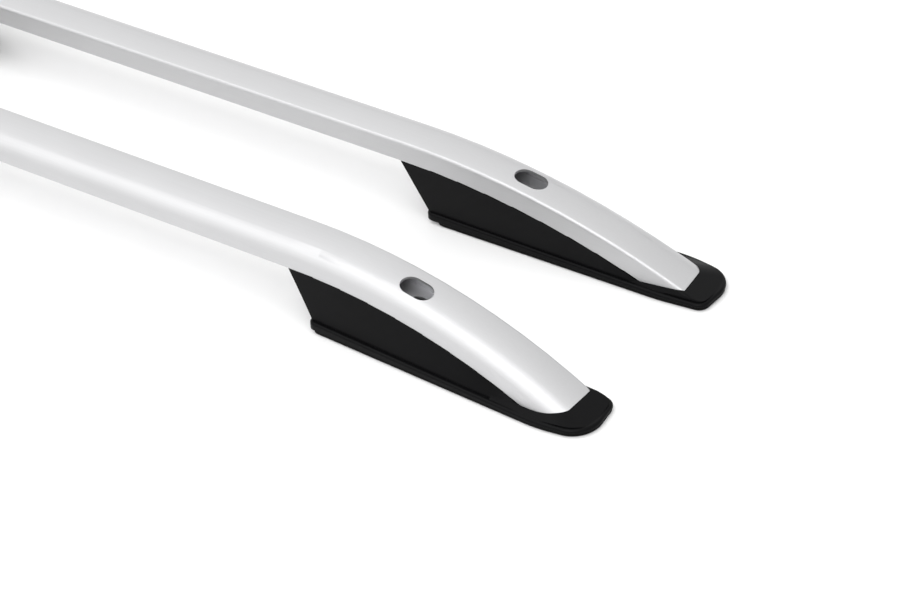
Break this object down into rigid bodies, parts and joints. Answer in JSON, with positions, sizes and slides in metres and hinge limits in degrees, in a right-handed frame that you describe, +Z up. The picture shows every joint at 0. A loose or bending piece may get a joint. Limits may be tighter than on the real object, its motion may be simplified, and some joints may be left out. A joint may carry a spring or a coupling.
{
  "type": "roof side rails",
  "caption": "Left and right car roof side rails: bent satin aluminium extrusions with open bolt slots, on black moulded feet with rubber gaskets.",
  "frame": {"origin": "on the floor, midway between the two rails and midway along them", "axes": "+X to the front along the rails, +Y to the left rail, +Z up"},
  "size_m": [1.5566, 0.2257, 0.0689],
  "materials": {
    "satin_aluminium": "satin anodised silver",
    "black_plastic": "satin black moulding",
    "black_rubber": "matt black",
    "zinc_steel": "zinc plated"
  },
  "bodies": {
    "root": {"left_rail": "satin_aluminium", "left_front_foot": "black_plastic", "left_front_gasket": "black_rubber", "left_front_bracket": "zinc_steel", "left_front_rail_screws": "zinc_steel", "left_front_foot_screws": "zinc_steel", "left_middle_foot": "black_plastic", "left_middle_gasket": "black_rubber", "left_middle_bracket": "zinc_steel", "left_middle_rail_screws": "zinc_steel", "left_middle_foot_screws": "zinc_steel", "left_rear_foot": "black_plastic", "left_rear_gasket": "black_rubber", "left_rear_bracket": "zinc_steel", "left_rear_rail_screws": "zinc_steel", "left_rear_foot_screws": "zinc_steel", "right_rail": "satin_aluminium", "right_front_foot": "black_plastic", "right_front_gasket": "black_rubber", "right_front_bracket": "zinc_steel", "right_front_rail_screws": "zinc_steel", "right_front_foot_screws": "zinc_steel", "right_middle_foot": "black_plastic", "right_middle_gasket": "black_rubber", "right_middle_bracket": "zinc_steel", "right_middle_rail_screws": "zinc_steel", "right_middle_foot_screws": "zinc_steel", "right_rear_foot": "black_plastic", "right_rear_gasket": "black_rubber", "right_rear_bracket": "zinc_steel", "right_rear_rail_screws": "zinc_steel", "right_rear_foot_screws": "zinc_steel"}
  },
  "joints": []
}
